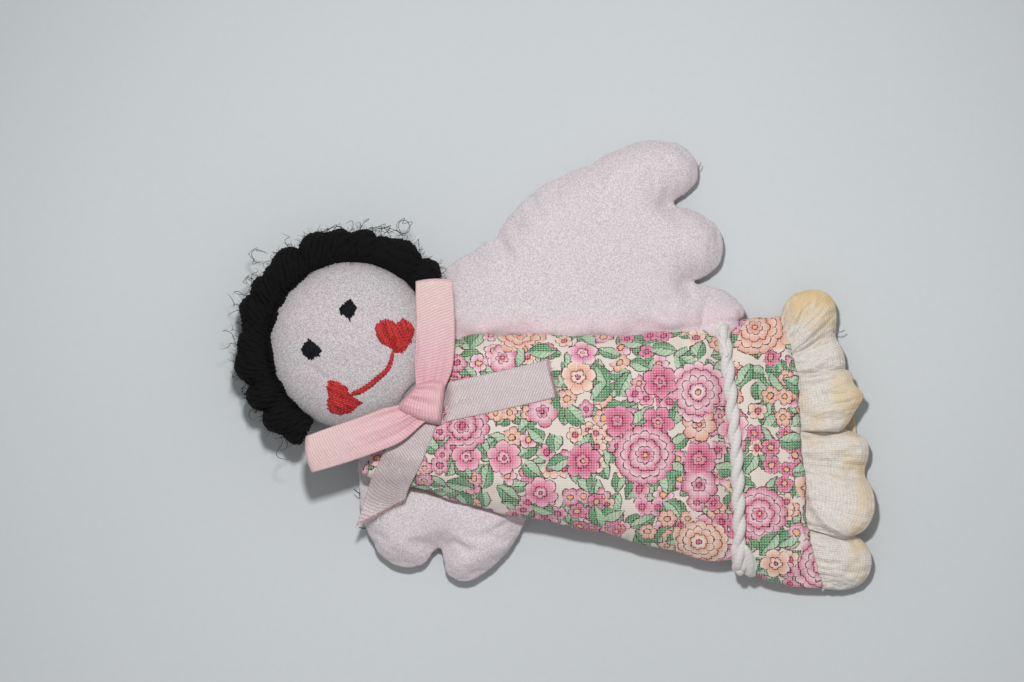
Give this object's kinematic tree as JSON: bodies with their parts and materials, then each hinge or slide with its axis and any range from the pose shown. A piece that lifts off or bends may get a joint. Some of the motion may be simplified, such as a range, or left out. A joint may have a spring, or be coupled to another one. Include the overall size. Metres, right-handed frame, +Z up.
{
  "type": "fabric angel doll",
  "caption": "Stuffed cloth angel doll lying on its back, with yarn hair, stitched face, padded wings, flowered dress, ribbon bow, hem braid and ruffle.",
  "frame": {"origin": "on the table under the middle of the doll's box, as it lies on its back", "axes": "+Z up from the table, the way the face looks; +Y from the hem towards the head; +X to the viewer's right when the doll is held upright"},
  "size_m": [0.1214, 0.1724, 0.0268],
  "materials": {
    "head": "pale pink crepe cloth, stuffed",
    "hair": "matt black yarn in loops",
    "eye_left": "black thread, satin stitch",
    "eye_right": "black thread, satin stitch",
    "cheek_heart_left": "red thread, satin stitch",
    "cheek_heart_right": "red thread, satin stitch",
    "smile": "red thread, stem stitch",
    "dress": "printed cotton with small flowers, stuffed",
    "wings": "pale pink crepe cloth, padded",
    "ribbon_bow": "pink satin ribbon",
    "hem_braid": "white twisted cord",
    "hem_ruffle": "cream gathered cloth with yellow stains"
  },
  "bodies": {
    "root": {"head": "head", "hair": "hair", "eye_left": "eye_left", "eye_right": "eye_right", "cheek_heart_left": "cheek_heart_left", "cheek_heart_right": "cheek_heart_right", "smile": "smile", "dress": "dress", "wings": "wings", "ribbon_bow": "ribbon_bow", "hem_braid": "hem_braid", "hem_ruffle": "hem_ruffle"}
  },
  "joints": []
}
